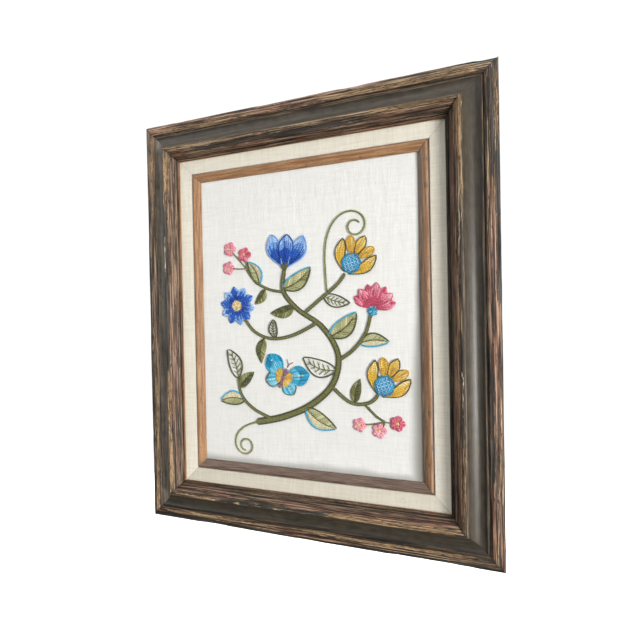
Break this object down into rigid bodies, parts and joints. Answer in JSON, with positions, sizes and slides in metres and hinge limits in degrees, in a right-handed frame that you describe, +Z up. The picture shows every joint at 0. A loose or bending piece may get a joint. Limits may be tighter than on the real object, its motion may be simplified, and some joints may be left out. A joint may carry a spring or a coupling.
{
  "type": "crewel embroidery panel with wooden picture frame",
  "caption": "Rectangular linen panel with raised wool embroidery, held by a linen-covered liner and a wood fillet in a deep mitred wood frame that hangs on a wall.",
  "frame": {"origin": "middle of the top rail's flat back, where the frame meets the wall", "axes": "+Y into the wall, so the front faces -Y; +Z up; +X to the right as seen from the front"},
  "size_m": [0.425, 0.0321, 0.502],
  "materials": {
    "barn_wood": "worn olive-black paint over rough grain, satin in the cove",
    "liner_linen": "matt plain-weave linen glued over wood",
    "fillet_wood": "satin orange-brown stain",
    "panel_linen": "matt off-white linen with wool stitching"
  },
  "bodies": {
    "root": {"frame_top": "barn_wood", "frame_bottom": "barn_wood", "frame_left": "barn_wood", "frame_right": "barn_wood", "liner_top": "liner_linen", "liner_bottom": "liner_linen", "liner_left": "liner_linen", "liner_right": "liner_linen", "fillet_top": "fillet_wood", "fillet_bottom": "fillet_wood", "fillet_left": "fillet_wood", "fillet_right": "fillet_wood", "linen_panel": "panel_linen"}
  },
  "joints": []
}
